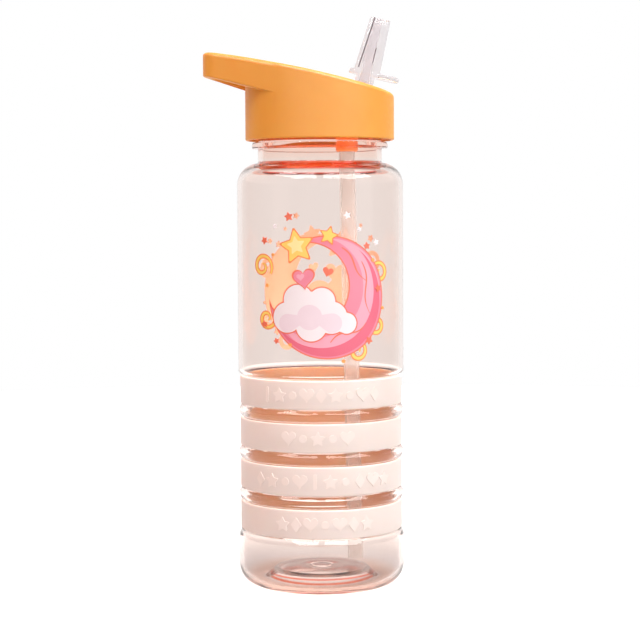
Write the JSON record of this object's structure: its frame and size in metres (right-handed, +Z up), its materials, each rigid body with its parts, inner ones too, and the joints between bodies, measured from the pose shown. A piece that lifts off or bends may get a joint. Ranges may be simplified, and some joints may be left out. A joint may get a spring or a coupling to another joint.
{
  "type": "kids water bottle",
  "caption": "Clear water bottle with a screw lid, a fold-down drinking spout, a straw, a carry loop and soft bands round its lower half.",
  "frame": {"origin": "centre of the footprint, loop included, on the plane that the bottle stands on; the bottle's own axis is upright at x = +0.00725, y = 0", "axes": "+Z up, +X from the carry loop towards the spout, +Y away from the side that the picture shows"},
  "size_m": [0.0874, 0.073, 0.2489],
  "materials": {
    "bottle_tinted_clear": "glossy, see-through, faint pink tint that deepens to coral where the wall is thick",
    "band_silicone": "soft satin, pale peach",
    "lid_orange": "satin moulded orange plastic",
    "clear_plastic": "glossy, see-through",
    "seal_silicone": "soft matt white"
  },
  "bodies": {
    "bottle": {"bottle_body": "bottle_tinted_clear", "band_bottom": "band_silicone", "band_lower": "band_silicone", "band_upper": "band_silicone", "band_top": "band_silicone"},
    "lid_seal": {"lid_gasket": "seal_silicone"},
    "lid": {"cap_shell": "lid_orange", "inner_cap": "lid_orange", "vent_valve": "seal_silicone", "straw": "clear_plastic", "spout_seal": "seal_silicone"},
    "spout": {"spout": "clear_plastic"}
  },
  "joints": [
    {"name": "lid_lift", "type": "slide", "parent": "bottle", "child": "lid_seal", "axis": [0, 0, 1], "range_m": [0, 0.205]},
    {"name": "lid_turn", "type": "hinge", "parent": "lid_seal", "child": "lid", "pos_m": [0.00725, 0, 0.2], "axis": [0, 0, 1], "range_deg": [0, 450]},
    {"name": "spout_flip", "type": "hinge", "parent": "lid", "child": "spout", "pos_m": [0.02578, 0, 0.21636], "axis": [0, -1, 0], "range_deg": [0, 90]}
  ]
}
